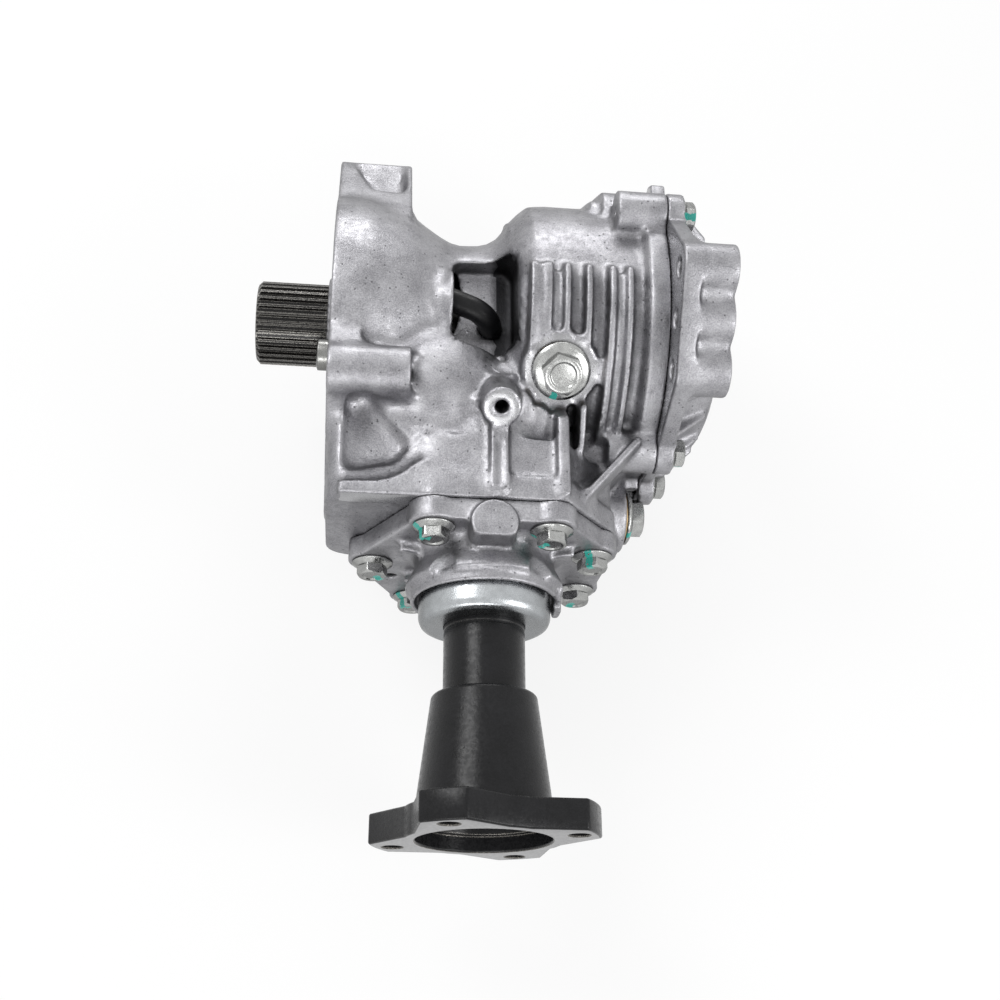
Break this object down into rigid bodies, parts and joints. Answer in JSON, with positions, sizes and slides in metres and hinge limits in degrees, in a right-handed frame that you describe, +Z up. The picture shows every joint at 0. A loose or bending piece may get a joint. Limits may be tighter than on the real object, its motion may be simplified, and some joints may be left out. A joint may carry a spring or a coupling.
{
  "type": "transfer case",
  "caption": "Power-transfer unit: takes drive from a transaxle's splined differential shaft and turns it through a bevel gear pair to a rear companion flange.",
  "frame": {"origin": "where the input axis meets the machined face that bolts to the transaxle", "axes": "+X along the input axis from the transaxle to the side cover, +Y forward, so the companion flange points along -Y, +Z up"},
  "size_m": [0.2445, 0.375, 0.2025],
  "materials": {
    "cast_aluminium": "satin die casting",
    "zinc_plated": "zinc plated",
    "gasket_metal": "satin",
    "hose_rubber": "satin",
    "dowel_steel": "satin",
    "seal_rubber": "matte",
    "bearing_steel": "ground",
    "cage_steel": "pressed",
    "phosphated_steel": "phosphated",
    "gear_steel": "lapped",
    "bolt_black": "black oxide",
    "black_paint": "satin paint",
    "zinc_cover": "zinc plated"
  },
  "bodies": {
    "housing": {"main_case": "cast_aluminium", "side_cover": "cast_aluminium", "pinion_carrier": "cast_aluminium", "filler_plug": "zinc_plated", "filler_gasket": "gasket_metal", "drain_plug": "zinc_plated", "drain_gasket": "gasket_metal", "breather_hose": "hose_rubber", "cover_bolts": "zinc_plated", "carrier_bolts": "zinc_plated", "dowel_rings": "dowel_steel", "input_seal": "seal_rubber", "driveshaft_seal": "seal_rubber", "pinion_seal": "seal_rubber", "cover_o_ring": "seal_rubber", "carrier_o_ring": "seal_rubber", "right_shim": "bearing_steel", "left_bearing_cup": "bearing_steel", "right_bearing_cup": "bearing_steel", "head_bearing_cup": "bearing_steel", "tail_bearing_cup": "bearing_steel"},
    "ring_train": {"input_shaft": "phosphated_steel", "ring_gear": "gear_steel", "ring_gear_bolts": "bolt_black", "left_bearing_cone": "bearing_steel", "right_bearing_cone": "bearing_steel"},
    "pinion_train": {"drive_pinion": "gear_steel", "collapsible_spacer": "bearing_steel", "companion_flange": "black_paint", "dust_cover": "zinc_cover", "flange_nut": "bolt_black", "flange_washer": "bolt_black", "head_bearing_cone": "bearing_steel", "tail_bearing_cone": "bearing_steel"},
    "left_cage": {"left_bearing_rollers": "bearing_steel", "left_bearing_cage": "cage_steel"},
    "right_cage": {"right_bearing_rollers": "bearing_steel", "right_bearing_cage": "cage_steel"},
    "head_cage": {"head_bearing_rollers": "bearing_steel", "head_bearing_cage": "cage_steel"},
    "tail_cage": {"tail_bearing_rollers": "bearing_steel", "tail_bearing_cage": "cage_steel"}
  },
  "joints": [
    {"name": "ring_spin", "type": "hinge", "parent": "housing", "child": "ring_train", "pos_m": [0, 0, 0], "axis": [1, 0, 0], "continuous": true},
    {"name": "pinion_spin", "type": "hinge", "parent": "housing", "child": "pinion_train", "pos_m": [0.0836, 0, 0], "axis": [0, 1, 0], "continuous": true},
    {"name": "left_cage_spin", "type": "hinge", "parent": "housing", "child": "left_cage", "pos_m": [0, 0, 0], "axis": [1, 0, 0], "continuous": true},
    {"name": "right_cage_spin", "type": "hinge", "parent": "housing", "child": "right_cage", "pos_m": [0, 0, 0], "axis": [1, 0, 0], "continuous": true},
    {"name": "head_cage_spin", "type": "hinge", "parent": "housing", "child": "head_cage", "pos_m": [0.0836, 0, 0], "axis": [0, 1, 0], "continuous": true},
    {"name": "tail_cage_spin", "type": "hinge", "parent": "housing", "child": "tail_cage", "pos_m": [0.0836, 0, 0], "axis": [0, 1, 0], "continuous": true}
  ],
  "couplings": [
    {"joint": "pinion_spin", "follows": "ring_spin", "ratio": 2.4706},
    {"joint": "left_cage_spin", "follows": "ring_spin", "ratio": 0.44424},
    {"joint": "right_cage_spin", "follows": "ring_spin", "ratio": 0.44292},
    {"joint": "head_cage_spin", "follows": "ring_spin", "ratio": 1.015},
    {"joint": "tail_cage_spin", "follows": "ring_spin", "ratio": 1.0121}
  ]
}
